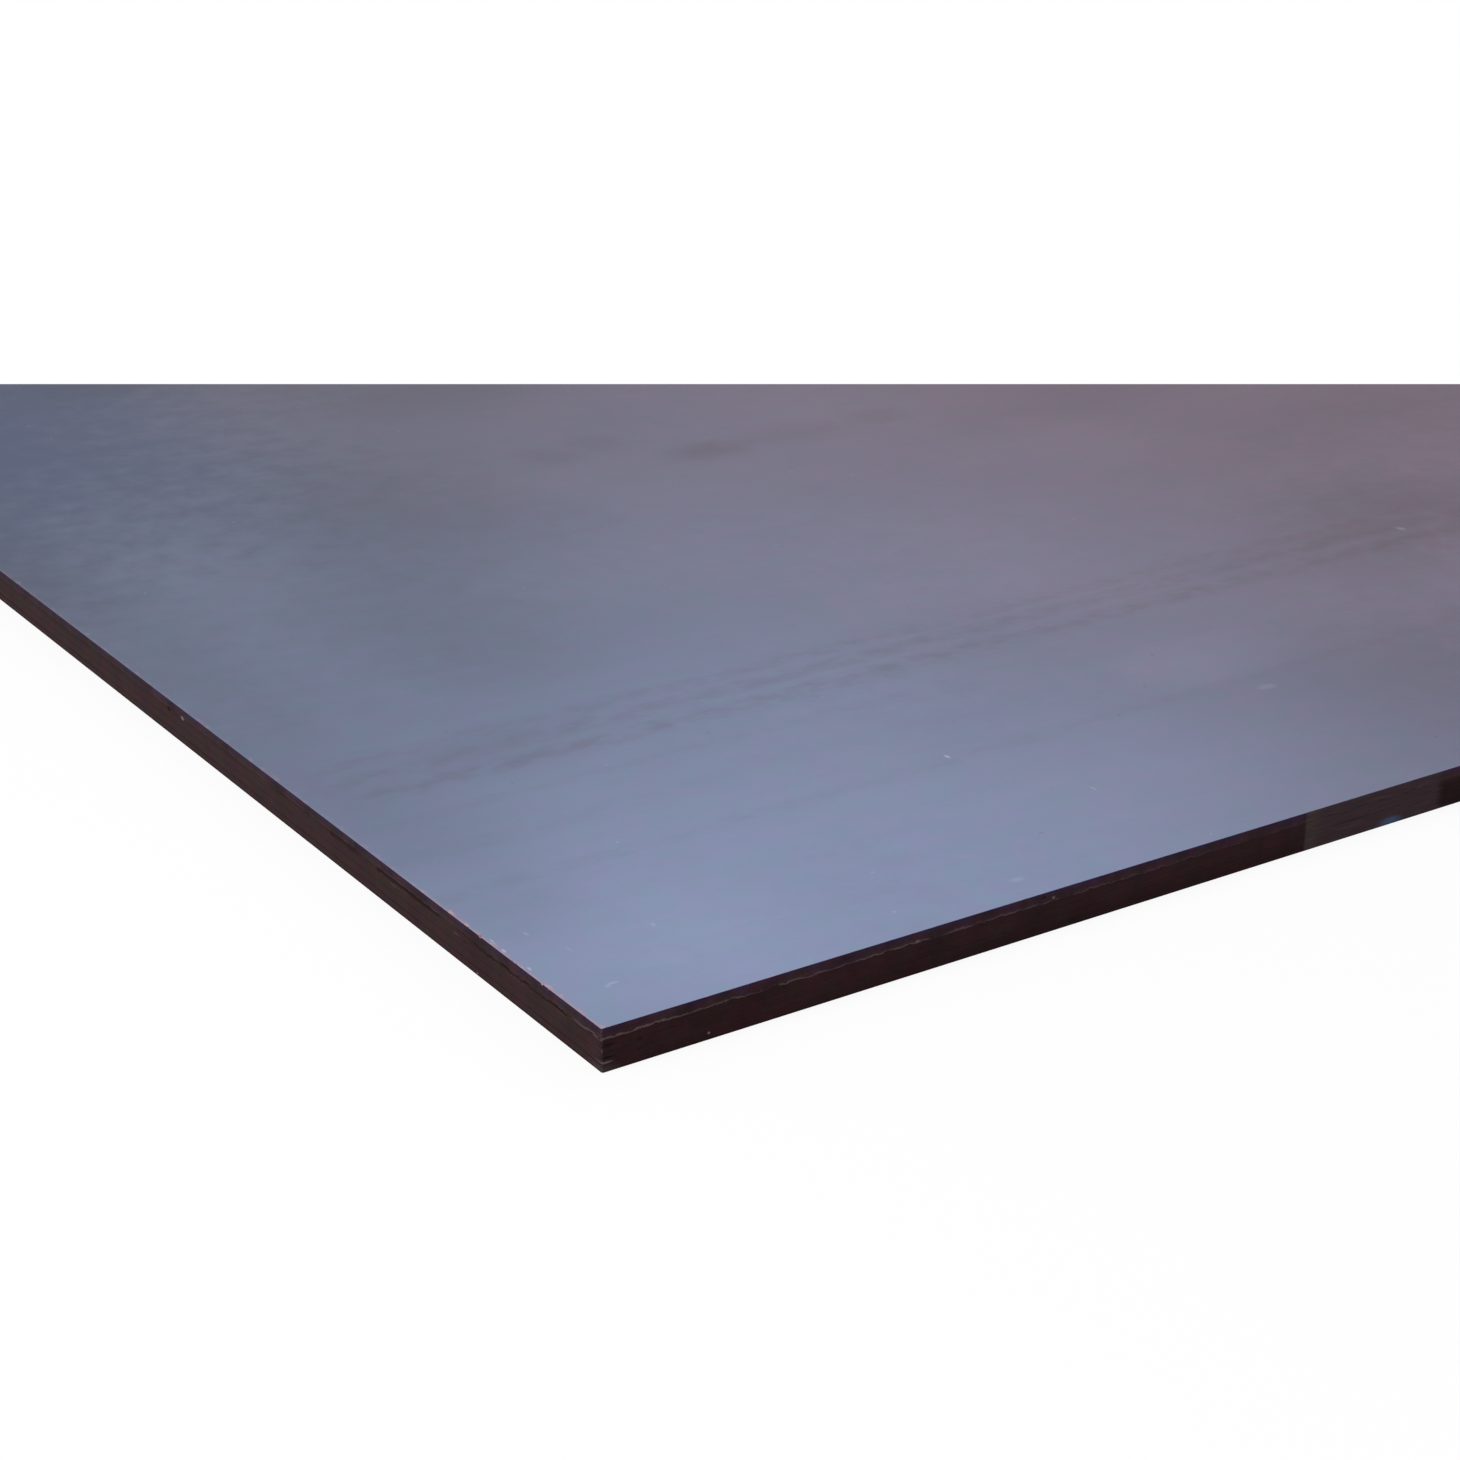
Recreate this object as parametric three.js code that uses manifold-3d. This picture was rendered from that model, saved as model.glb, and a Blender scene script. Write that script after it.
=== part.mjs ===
// Film-faced plywood sheet, lying flat: nine cross-laid veneers pressed and glued into one solid panel,
// with a thin phenolic film on both faces and sawn, painted edges.
//
// Millimetres, +Z up. The origin is the middle of the underside. X runs along the face grain and Y across it.

import * as THREE from 'three';
import { mergeVertices } from 'three/addons/utils/BufferGeometryUtils.js';
import ManifoldModule from 'manifold-3d';

// ---- Sheet --------------------------------------------------------------------------------------------

const SHEET_LENGTH = 2500; // along the face grain
const SHEET_WIDTH = 1250; // across the face grain
const CORNER_BEVEL = 0.8; // the four upright corners, dulled by handling

// ---- Lay-up -------------------------------------------------------------------------------------------

const VENEER_COUNT = 9; // an odd number, so that both face veneers run along X
const VENEER_THICKNESS = 1.97; // one veneer after pressing
const FILM_THICKNESS = 0.135; // resin-soaked paper on each face

// ---- Sawn edge ----------------------------------------------------------------------------------------

const ARRIS_BEVEL = 0.4; // where the film and the face veneer meet the sawn edge
const END_GRAIN_RECESS = 0.12; // the saw tears end grain back behind the veneers that it cuts lengthwise
const GLUE_LINE_HEIGHT = 0.2; // mouth of the groove along a sound glue line
const GLUE_LINE_DEPTH = 0.15; // shallow, because the edge paint has nearly filled it
const OPEN_JOINT_FROM_FACE = 2; // the weak glue line, counted inwards from either face
const OPEN_JOINT_HEIGHT = 0.5;
const OPEN_JOINT_DEPTH = 0.8; // on the ends, where it has opened

// ---- Core gap -----------------------------------------------------------------------------------------

// An inner veneer is laid in strips. Where two strips stand apart, the gap between them runs out at the edge
// that cuts their ends, as a small square hole that the paint has half filled. This sheet has one, on the -X
// end.
const CORE_GAP_FROM_CORNER = 396; // along the end, from the long edge at -Y
const CORE_GAP_VENEER = 3; // counted from the top face
const CORE_GAP_WIDTH = 2.4;
const CORE_GAP_HEIGHT = 1.5;
const CORE_GAP_DEPTH = 2.5;

const CUTTER_OVERSHOOT = 2; // how far the cutter stands out of the solid that it cuts

// ---- Colours ------------------------------------------------------------------------------------------

const FILM_COLOUR = 0x6e6a78; // dark brown film under a slate-blue bloom
const FILM_ROUGHNESS = 0.5;

// The veneers from the underside up. Odd ones run along X and even ones across.
function veneerLayUp() {
  return Array.from({ length: VENEER_COUNT }, (_, index) => ({
    bottom: FILM_THICKNESS + index * VENEER_THICKNESS,
    top: FILM_THICKNESS + (index + 1) * VENEER_THICKNESS,
    grainAlongX: index % 2 === 0,
  }));
}

// How far a veneer's edge stands back on each of the two kinds of sawn edge. An edge shows a veneer's end
// grain where the grain runs into it: on the ends for a veneer along X, on the long edges for one across.
function edgeRecess(veneer) {
  return {
    end: veneer.grainAlongX ? END_GRAIN_RECESS : 0,
    long: veneer.grainAlongX ? 0 : END_GRAIN_RECESS,
  };
}

// The groove along the glue line above a veneer. The weak line's groove is wider, and deep on the ends.
function glueGroove(jointNumber) {
  const weak = jointNumber === OPEN_JOINT_FROM_FACE || jointNumber === VENEER_COUNT - OPEN_JOINT_FROM_FACE;
  return {
    height: weak ? OPEN_JOINT_HEIGHT : GLUE_LINE_HEIGHT,
    end: weak ? OPEN_JOINT_DEPTH : GLUE_LINE_DEPTH,
    long: GLUE_LINE_DEPTH,
  };
}

// The sheet's edge profile from the underside up: a list of heights with the recess of both kinds of edge.
function edgeProfile() {
  const veneers = veneerLayUp();
  const profile = [];
  const addStation = (z, recess) => profile.push({ z, ...recess });

  veneers.forEach((veneer, index) => {
    const recess = edgeRecess(veneer);
    const bevelled = { end: recess.end + ARRIS_BEVEL, long: recess.long + ARRIS_BEVEL };
    const isFirst = index === 0;
    const isLast = index === veneers.length - 1;

    if (isFirst) {
      addStation(0, bevelled);
      addStation(ARRIS_BEVEL, recess);
    } else {
      addStation(veneer.bottom + glueGroove(index).height / 2, recess);
    }

    if (isLast) {
      addStation(veneer.top + FILM_THICKNESS - ARRIS_BEVEL, recess);
      addStation(veneer.top + FILM_THICKNESS, bevelled);
      return;
    }

    const groove = glueGroove(index + 1);
    const above = edgeRecess(veneers[index + 1]);
    addStation(veneer.top - groove.height / 2, recess);
    addStation(veneer.top, {
      end: Math.max(recess.end, above.end) + groove.end,
      long: Math.max(recess.long, above.long) + groove.long,
    });
  });
  return profile;
}

// The sheet's outline at one station of the profile, anticlockwise from the +X end, with bevelled corners.
function outlineAt({ z, end, long }) {
  const x = SHEET_LENGTH / 2 - end;
  const y = SHEET_WIDTH / 2 - long;
  const b = CORNER_BEVEL;
  return [
    [x, b - y],
    [x, y - b],
    [x - b, y],
    [b - x, y],
    [-x, y - b],
    [-x, b - y],
    [b - x, -y],
    [x - b, -y],
  ].map(([px, py]) => new THREE.Vector3(px, py, z));
}

// A closed body through a stack of like outlines, with a flat cap on the first and the last.
function loftOutlines(outlines) {
  const sides = outlines[0].length;
  const indices = [];

  for (let ring = 0; ring + 1 < outlines.length; ring += 1) {
    for (let side = 0; side < sides; side += 1) {
      const next = (side + 1) % sides;
      const lower = ring * sides;
      const upper = lower + sides;
      indices.push(lower + side, lower + next, upper + next);
      indices.push(lower + side, upper + next, upper + side);
    }
  }

  const topRing = (outlines.length - 1) * sides;
  for (let side = 1; side + 1 < sides; side += 1) {
    indices.push(0, side + 1, side);
    indices.push(topRing, topRing + side, topRing + side + 1);
  }

  const geometry = new THREE.BufferGeometry().setFromPoints(outlines.flat());
  geometry.setIndex(indices);
  return geometry;
}

// The block that cuts the core gap, across the end that it runs out at.
function coreGapCutter() {
  const veneer = veneerLayUp()[VENEER_COUNT - CORE_GAP_VENEER];
  const reach = CORE_GAP_DEPTH + CUTTER_OVERSHOOT;
  const x = CORE_GAP_DEPTH - reach / 2 - SHEET_LENGTH / 2;
  const y = CORE_GAP_FROM_CORNER - SHEET_WIDTH / 2;
  const z = (veneer.bottom + veneer.top) / 2;
  return new THREE.BoxGeometry(reach, CORE_GAP_WIDTH, CORE_GAP_HEIGHT).translate(x, y, z);
}

// ---- Boolean cutting ----------------------------------------------------------------------------------

const wasm = await ManifoldModule();
wasm.setup();

function toSolid(geometry) {
  const bare = geometry.clone();
  bare.deleteAttribute('normal');
  bare.deleteAttribute('uv');
  const merged = mergeVertices(bare);
  return new wasm.Manifold(
    new wasm.Mesh({
      numProp: 3,
      vertProperties: new Float32Array(merged.attributes.position.array),
      triVerts: new Uint32Array(merged.index.array),
    }),
  );
}

function toGeometry(solid) {
  const { vertProperties, triVerts } = solid.getMesh();
  const geometry = new THREE.BufferGeometry();
  geometry.setAttribute('position', new THREE.BufferAttribute(vertProperties, 3));
  geometry.setIndex(new THREE.BufferAttribute(triVerts, 1));
  return geometry;
}

// ---- The sheet ----------------------------------------------------------------------------------------

function plywoodSheet() {
  const panel = toSolid(loftOutlines(edgeProfile().map(outlineAt)));
  const cut = panel.subtract(toSolid(coreGapCutter()));
  const geometry = toGeometry(cut).toNonIndexed();
  geometry.computeVertexNormals();
  const film = new THREE.MeshStandardMaterial({
    color: FILM_COLOUR,
    roughness: FILM_ROUGHNESS,
    metalness: 0,
  });
  const mesh = new THREE.Mesh(geometry, film);
  mesh.name = 'plywood_sheet';
  return mesh;
}

const sheet = new THREE.Group();
sheet.add(plywoodSheet());

export default sheet;
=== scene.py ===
# %% [markdown]
# # A film-faced plywood sheet
#
# Plywood is a stack of thin veneers, each with its grain across the one below, glued and pressed into one
# stiff sheet. This one is a shuttering sheet, for moulding concrete: a brown resin film is pressed on both
# faces, and the sawn edges are painted against the wet. The lesson dresses one solid sheet. It makes the
# laminated edge with its wavy glue lines, the two films with their chipped rims, and the finishes of film,
# paint and wood.
#
# The first cell loads the sheet as a fixed frame, in metres, with X along the face grain and Z up. Every
# size that follows is read from it or named once.

import math

import bmesh
import bpy
import numpy as np
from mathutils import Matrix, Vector


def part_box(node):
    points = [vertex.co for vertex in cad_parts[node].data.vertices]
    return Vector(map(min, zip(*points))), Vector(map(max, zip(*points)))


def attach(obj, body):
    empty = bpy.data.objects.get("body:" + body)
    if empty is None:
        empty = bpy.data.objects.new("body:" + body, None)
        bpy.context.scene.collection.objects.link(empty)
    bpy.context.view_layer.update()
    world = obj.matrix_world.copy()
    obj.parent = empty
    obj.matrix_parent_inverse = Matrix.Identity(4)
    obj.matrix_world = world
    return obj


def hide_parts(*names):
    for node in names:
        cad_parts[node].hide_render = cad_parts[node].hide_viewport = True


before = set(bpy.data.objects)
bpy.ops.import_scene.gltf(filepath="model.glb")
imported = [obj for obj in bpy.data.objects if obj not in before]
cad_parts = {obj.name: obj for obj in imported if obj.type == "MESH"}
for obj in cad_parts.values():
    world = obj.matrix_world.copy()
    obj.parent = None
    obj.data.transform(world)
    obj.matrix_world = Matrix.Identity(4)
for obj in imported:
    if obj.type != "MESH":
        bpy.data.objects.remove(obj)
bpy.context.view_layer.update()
SHEET_LOW, SHEET_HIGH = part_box("plywood_sheet")
NEAR_CORNER = Vector((SHEET_LOW.x, SHEET_LOW.y, SHEET_HIGH.z))
MM = 0.001
print("sheet", [round(v / MM, 2) for v in SHEET_HIGH - SHEET_LOW], "mm")

# %% [markdown]
# ## Camera
#
# A long lens stands low beside one corner and looks along the sheet, so the corner fills the foreground and
# the sheet runs out of the picture on three sides. Its place is given from the near top corner. The view
# ends at a set depth, like a print that is cropped along its top, so the far part of the sheet stays out of
# the picture.

# %% Camera
CAMERA_FROM_CORNER = Vector((-0.4195, -0.7117, 0.4399))
CAMERA_PITCH = math.radians(21.536)  # down from level
CAMERA_HEADING = math.radians(33.705)  # from +Y towards +X
LENS_MM = 64.4
SENSOR_MM = 36.0
NEAREST_SEEN = 0.05
VIEW_DEPTH = 1.8038


def new_object(name, data):
    made = bpy.data.objects.new(name, data)
    bpy.context.scene.collection.objects.link(made)
    return made


def aim(thing, place, direction):
    """Puts a camera or a lamp in its place and turns it in a direction."""
    thing.location = place
    thing.rotation_mode = "QUATERNION"
    thing.rotation_quaternion = direction.to_track_quat("-Z", "Y")


def make_camera():
    data = bpy.data.cameras.new("corner_camera")
    data.lens = LENS_MM
    data.sensor_width = SENSOR_MM
    data.clip_start = NEAREST_SEEN
    data.clip_end = VIEW_DEPTH
    camera = new_object("corner_camera", data)
    across, along = math.sin(CAMERA_HEADING), math.cos(CAMERA_HEADING)
    level = math.cos(CAMERA_PITCH)
    forward = Vector((across * level, along * level, -math.sin(CAMERA_PITCH)))
    aim(camera, NEAR_CORNER + CAMERA_FROM_CORNER, forward)
    bpy.context.scene.camera = camera
    print("camera at", [round(v, 3) for v in camera.location])


make_camera()

# %% [markdown]
# ## Helpers for node trees
#
# Finishes and shapes are both node trees here. Wired by hand they take many lines, so an output of a node
# becomes a wire, with which one can reckon as with a number: each sign adds a Math node, or a Vector Math
# node where a vector or a colour takes part. A few short helpers add the other nodes. What feeds an input
# may be a number, a colour or a wire.

# %% Wires
def sign(operation, swapped=False):
    """What a sign between two values does: it adds a node for the operation."""
    def reckon(first, second):
        return maths(operation, second, first) if swapped else maths(operation, first, second)
    return reckon


class Wire:
    """A node's output. Reckoning with it adds nodes to its tree, also where the number comes first."""

    def __init__(self, socket):
        self.socket = socket
        self.tree = socket.id_data

    def to(self, socket):
        self.tree.links.new(self.socket, socket)

    __add__ = __radd__ = sign("ADD")
    __mul__ = __rmul__ = sign("MULTIPLY")
    __sub__, __rsub__ = sign("SUBTRACT"), sign("SUBTRACT", swapped=True)
    __truediv__, __rtruediv__ = sign("DIVIDE"), sign("DIVIDE", swapped=True)


def wires_of(node):
    return {output.name: Wire(output) for output in node.outputs}


def tree_of(*values):
    return next(value.tree for value in values if isinstance(value, Wire))


def add_node(tree, kind, feeds=(), **settings):
    """Adds a node, sets its options, and feeds its inputs by name, by number or in order."""
    node = tree.nodes.new(kind)
    for name, value in settings.items():
        setattr(node, name, value)
    for key, value in feeds.items() if isinstance(feeds, dict) else enumerate(feeds):
        if isinstance(value, Wire):
            value.to(node.inputs[key])
        elif value is not None:
            node.inputs[key].default_value = value
    return node


def add(tree, kind, feeds=(), **settings):
    """Adds a node and gives its first output."""
    return Wire(add_node(tree, kind, feeds, **settings).outputs[0])


def maths(operation, *values):
    kind = "ShaderNodeMath"
    if any(isinstance(value, Wire) and value.socket.type in ("VECTOR", "RGBA") for value in values):
        kind = "ShaderNodeVectorMath"
        values = [(value,) * 3 if isinstance(value, (int, float)) else value for value in values]
    return add(tree_of(*values), kind, values, operation=operation)


print("wires ready")

# %% Node helpers
NEAR_ENOUGH = 0.1  # counts and shares this close to each other are the same


def split(vector):
    return wires_of(add_node(vector.tree, "ShaderNodeSeparateXYZ", [vector])).values()


def join(x, y, z):
    return add(x.tree, "ShaderNodeCombineXYZ", [x, y, z])


def size_of(value):
    return maths("ABSOLUTE", value)


def length_of(vector):
    return wires_of(add_node(vector.tree, "ShaderNodeVectorMath", [vector], operation="LENGTH"))["Value"]


def near(value, target):
    return maths("COMPARE", value, target, NEAR_ENOUGH)


def mix(share, first, second):
    """The first value where the share is 0, and the second where it is 1."""
    return share * (second - first) + first


def off_centre(value, strength, base):
    """Adds a noise's difference from one half to a base value, at some strength."""
    return (value - 0.5) * strength + base


def ease(value, low, high, to_low=0.0, to_high=1.0):
    """Maps a stretch of values onto another, eased at both ends and held outside."""
    feeds = {"Value": value, "From Min": low, "From Max": high, "To Min": to_low, "To Max": to_high}
    return add(value.tree, "ShaderNodeMapRange", feeds, interpolation_type="SMOOTHSTEP")


def noise(place, scale, detail=2.0, roughness=0.5, seed=None):
    feeds = {"Vector": place, "W": seed, "Scale": scale, "Detail": detail, "Roughness": roughness}
    return add(place.tree, "ShaderNodeTexNoise", feeds, noise_dimensions="3D" if seed is None else "4D")


print("node helpers ready")

# %% [markdown]
# A rule that is used more than once becomes a node group, and so does the whole tree of a shape. Here a
# group is written as a function, and the line above it makes it one: its arguments are the group's inputs,
# each with the kind of its socket or the number that it starts from, and what it returns are the outputs.

# %% Groups
def label(name):
    return name.replace("_", " ").title()


def node_group(kind, **inputs):
    """Makes a node group of the function that follows."""
    def make(build):
        tree = bpy.data.node_groups.new(label(build.__name__), kind)
        for name, start in inputs.items():
            socket = start if isinstance(start, str) else label(type(start).__name__)
            item = tree.interface.new_socket(label(name), in_out="INPUT", socket_type="NodeSocket" + socket)
            if not isinstance(start, str):
                item.default_value = start
        given = wires_of(tree.nodes.new("NodeGroupInput"))
        returned = build(**{name: given[label(name)] for name in inputs})
        for name, wire in returned.items():
            socket = "NodeSocketGeometry" if wire.socket.type == "GEOMETRY" else "NodeSocketFloat"
            tree.interface.new_socket(name, in_out="OUTPUT", socket_type=socket)
        outlets = tree.nodes.new("NodeGroupOutput").inputs
        for name, wire in returned.items():
            wire.to(outlets[name])
        print(tree.name, len(tree.nodes), "nodes")
        return tree
    return make


def use(group, place, **values):
    """Adds a group for a place, with its other inputs given by name, and gives its outputs. The node that
    holds a GeometryNodeTree is a GeometryNodeGroup, and likewise for shaders."""
    kind = group.bl_idname.replace("Tree", "Group")
    feeds = {"Place": place, **{label(name): value for name, value in values.items()}}
    return wires_of(add_node(place.tree, kind, feeds, node_tree=group))


print("groups ready")

# %% [markdown]
# ## The sawn outline
#
# A sheet is trimmed by saws on four sides, and handling soon dulls its corners. The outline is one closed
# loop of points round the sheet. A plain rectangle of four points would do for a flat edge, but this edge
# has fine shapes along it, so points stand close together on the two edges that are seen from near by, and
# further apart elsewhere: the mesh spends its faces where they show.

# %% Outline
CORNER_RADIUS = 1.0 * MM
CORNER_POINTS = 5
CLOSE_UP_LENGTH = 700 * MM  # how far from the near corner the edges are seen from close by
COARSE_STEP = 5 * MM
PANEL_FINE_STEP = 1.25 * MM
FILM_FINE_STEP = 0.4 * MM
EDGE_BAND = 3  # millimetres within which a point of the outline counts as on an edge
# How readily the film chips: at distances in millimetres along the left end, and elsewhere.
LEFT_PLACES, LEFT_CHIPPING = [0, 20, 50, 110, 150, 700], [0.3, 0.8, 0.95, 0.85, 0.3, 0.2]
FRONT_CHIPPING, FAR_CHIPPING = 0.1, 0.3


def edge_places(length, step_at, extra):
    """Distances along an edge, as close together as step_at says at each place, with the extra ones."""
    places = [0.0]
    while places[-1] < length:
        places.append(places[-1] + step_at(places[-1]))
    return np.unique(np.concatenate([np.array(places) * length / places[-1], extra]))


def heading(degrees):
    return np.array([math.cos(math.radians(degrees)), math.sin(math.radians(degrees))])


def sheet_outline(fine_step, extra_left=()):
    """The outline, anticlockwise from the near corner, as places and outward directions. The extra stations
    are on the left end, measured from where the near corner's round ends."""
    low = np.array(SHEET_LOW.xy) + CORNER_RADIUS
    high = np.array(SHEET_HIGH.xy) - CORNER_RADIUS
    length, width = high - low

    def step(distance):
        return fine_step if distance < CLOSE_UP_LENGTH else COARSE_STEP

    edges = [
        (low, 0, edge_places(length, step, [])),
        ((high[0], low[1]), 90, edge_places(width, lambda s: COARSE_STEP, [])),
        (high, 180, edge_places(length, lambda s: COARSE_STEP, [])),
        ((low[0], high[1]), 270, edge_places(width, lambda s: step(width - s), width - np.array(extra_left))),
    ]
    places, outwards = [], []
    for start, turn, stations in edges:
        along = heading(turn)
        outward = np.array([along[1], -along[0]])
        places += [np.array(start) + along * station + outward * CORNER_RADIUS for station in stations]
        outwards += [outward] * len(stations)
        for number in range(1, CORNER_POINTS):
            outward = heading(turn - 90 + 90 * number / CORNER_POINTS)
            places.append(np.array(start) + along * stations[-1] + outward * CORNER_RADIUS)
            outwards.append(outward)
    return np.array(places), np.array(outwards)


def chipping_at(places):
    """How readily the film chips: most along the left end beside the near corner, least on the front edge."""
    x, y = ((places - np.array(SHEET_LOW.xy)) / MM).T
    elsewhere = np.where(y < EDGE_BAND, FRONT_CHIPPING, FAR_CHIPPING)
    return np.where(x < EDGE_BAND, np.interp(y, LEFT_PLACES, LEFT_CHIPPING), elsewhere)


def outline_mesh(places, outwards, **more):
    """The outline as a loop of edges, with what the trees need to know written on its points."""
    count = len(places)
    mesh = bpy.data.meshes.new("outline")
    mesh.from_pydata([(x, y, 0) for x, y in places], [(i, (i + 1) % count) for i in range(count)], [])
    outward = mesh.attributes.new("outward", "FLOAT_VECTOR", "POINT")
    outward.data.foreach_set("vector", np.pad(outwards, ((0, 0), (0, 1))).astype(np.float32).ravel())
    for name, values in {"chipping": chipping_at(places), **more}.items():
        attribute = mesh.attributes.new(name, "FLOAT", "POINT")
        attribute.data.foreach_set("value", np.asarray(values, np.float32))
    return mesh


print("outline of", len(sheet_outline(PANEL_FINE_STEP)[0]), "points for the veneers")

# %% [markdown]
# ## From a loop of edges to a closed body
#
# Both shapes below are made the same way: Geometry Nodes sweep an upright profile round the outline, move
# each point by a rule, and hand back an open band. These helpers run such a tree, take the result as a
# plain mesh, and close the band with a flat cap on each rim.

# %% Running a tree
LEVEL_SPAN = 0.01  # an edge whose ends differ by less than this in level runs round the band


def read_field(tree, name, kind="FLOAT"):
    return add(tree, "GeometryNodeInputNamedAttribute", {"Name": name}, data_type=kind)


def store_field(geometry, name, value, kind="FLOAT"):
    feeds = {"Geometry": geometry, "Name": name, "Value": value}
    return add(geometry.tree, "GeometryNodeStoreNamedAttribute", feeds, data_type=kind)


def sweep(outline, count, name, per_unit):
    """Sweeps a profile of count points round the outline. Gives the band and, for each of its points, the
    number in the profile divided by per_unit, the place on the outline and the outward direction."""
    tree = outline.tree
    number = add(tree, "GeometryNodeInputIndex") / per_unit
    row = add(tree, "GeometryNodeMeshLine", {"Count": count, "Offset": (0, MM, 0)})
    profile = add(tree, "GeometryNodeMeshToCurve", [store_field(row, name, number)])
    placed = store_field(outline, "place", add(tree, "GeometryNodeInputPosition"), "FLOAT_VECTOR")
    path = add(tree, "GeometryNodeMeshToCurve", [placed])
    band = add(tree, "GeometryNodeCurveToMesh", {"Curve": path, "Profile Curve": profile})
    place, outward = (read_field(tree, each, "FLOAT_VECTOR") for each in ("place", "outward"))
    return band, read_field(tree, name), place, outward


def finish_band(band, x, y, height, chipped, material):
    """Moves the band's points, writes on them how far the film is chipped, and sets the material."""
    tree = band.tree
    shaped = add(tree, "GeometryNodeSetPosition", {"Geometry": band, "Position": join(x, y, height)})
    real = add(tree, "GeometryNodeRealizeInstances", [store_field(shaped, "chipped", chipped)])
    return {"Geometry": add(tree, "GeometryNodeSetMaterial", {"Geometry": real, "Material": material})}


def run_tree(tree, mesh, **values):
    """Runs a Geometry Nodes tree on a mesh and gives the result as a plain mesh."""
    holder = new_object("holder", mesh)
    modifier = holder.modifiers.new("shape", "NODES")
    modifier.node_group = tree
    sockets = {item.name: item.identifier for item in tree.interface.items_tree if item.in_out == "INPUT"}
    for name, value in values.items():
        modifier[sockets[label(name)]] = value
    evaluated = holder.evaluated_get(bpy.context.evaluated_depsgraph_get())
    made = bpy.data.meshes.new_from_object(evaluated)
    holder.modifiers.remove(modifier)
    bpy.data.objects.remove(holder)
    return made


def close_rims(mesh, cap_material, level_field=None, crisp_shares=()):
    """Caps the open rims of a band with flat faces, and turns every face outwards. Edges that run round the
    band are crisp where the field of its levels has one of the crisp shares past a whole number."""
    bm = bmesh.new()
    bm.from_mesh(mesh)
    rims = [edge for edge in bm.edges if edge.is_boundary]
    for face in bm.faces:
        face.smooth = True
    for edge in rims:
        edge.smooth = False
    if level_field:
        levels = bm.verts.layers.float[level_field]
        for edge in bm.edges:
            first, second = (vert[levels] for vert in edge.verts)
            if abs(first - second) < LEVEL_SPAN and round(first % 1, 2) in crisp_shares:
                edge.smooth = False
    caps = bmesh.ops.holes_fill(bm, edges=rims, sides=0)["faces"]
    for cap in caps:
        cap.material_index = cap_material
        cap.smooth = False
    bmesh.ops.recalc_face_normals(bm, faces=bm.faces)
    bmesh.ops.triangulate(bm, faces=caps)
    bm.to_mesh(mesh)
    bm.free()


def new_piece(name, mesh, materials):
    """An object at the origin that holds the mesh, riding with the sheet and standing for its solid."""
    mesh.name = name
    mesh.materials.clear()
    for material in materials:
        mesh.materials.append(material)
    piece = new_object(name, mesh)
    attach(piece, "root")
    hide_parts("plywood_sheet")
    print(name, len(mesh.polygons), "faces", [round(v / MM, 2) for v in piece.dimensions], "mm")


film_finish = bpy.data.materials.new("phenolic_film")
edge_finish = bpy.data.materials.new("edge_paint")
wood_finish = bpy.data.materials.new("bare_veneer")
print("finishes to be made below:", film_finish.name, edge_finish.name, wood_finish.name)

# %% [markdown]
# ## Chips in the film's rim
#
# A saw and rough handling break small chips out of the brittle film along the sheet's arrises, and bare
# wood shows through. Modelling each chip by hand would never end, so one rule makes them all: noise along
# the rim, of which only the peaks count. The rule is a group, because the film and the veneers below it
# must agree on where a chip is.

# %% Chip rule
CHIP_SPREAD = 0.22  # how far the chipping moves the noise against its peak
CHIP_SLOPE = 0.09  # how far above the peak a chip is at its full depth


@node_group("GeometryNodeTree", place="Vector", chipping=0.5, chip_size=2.6 * MM, peak=0.57, seed=4.0)
def chip_rule(place, chipping, chip_size, peak, seed):
    readiness = (chipping - 1) * CHIP_SPREAD + noise(place, 1 / chip_size, 2.0, 0.55, seed)
    return {"Chipped": ease(readiness, peak, peak + CHIP_SLOPE)}


def chips(place):
    return use(chip_rule, place, chipping=read_field(place.tree, "chipping"))["Chipped"]

# %% [markdown]
# ## The laminated edge
#
# The edge follows a rule: nine veneers on each other, end grain and long grain by turns, with a fine groove
# along every glue line. It could be cut with booleans or painted as bump, but then it couldn't be changed,
# or wouldn't show in outline. Geometry Nodes keep the rule itself: a profile with four points for each
# veneer is swept round the outline, and each point finds its place. The saw leaves end grain a little
# further back. Glue lines wander as the veneers vary in thickness. The second one in from each face has
# opened on the ends, and knocks have opened them all beside the corners.
#
# The first tree is a group for the place and shape of one glue line. The main tree asks it for the lines
# below and above each veneer.

# %% Glue line rule
VENEERS = 9
FILM_THICKNESS = 0.135 * MM
VENEER_THICKNESS = (SHEET_HIGH.z - SHEET_LOW.z - 2 * FILM_THICKNESS) / VENEERS
END_GRAIN_RECESS = 0.12 * MM
POINTS_PER_VENEER = 4
LIP_SHARES = (0.25, 0.75)  # how far up a veneer the lips of its two grooves are, as the profile counts
OPENED_PATCHES = 28.0  # patches of the opened joint in a metre
TORN_FIBRES = 900.0  # torn places of the end grain in a metre
LINE_SEED_STEP = 5.3  # gives each glue line a wave of its own
# Both trees have these inputs, which describe all glue lines.
LINES = dict(
    veneers=VENEERS, veneer_thickness=VENEER_THICKNESS, wave_height=1.5 * MM, wave_length=42 * MM,
    mouth=0.16 * MM, depth=0.06 * MM, open_from_face=2.0, open_drop=0.38 * MM, open_mouth=0.75 * MM,
    open_depth=0.75 * MM, arris=0.12 * MM, seed=3.0,
)


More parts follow.
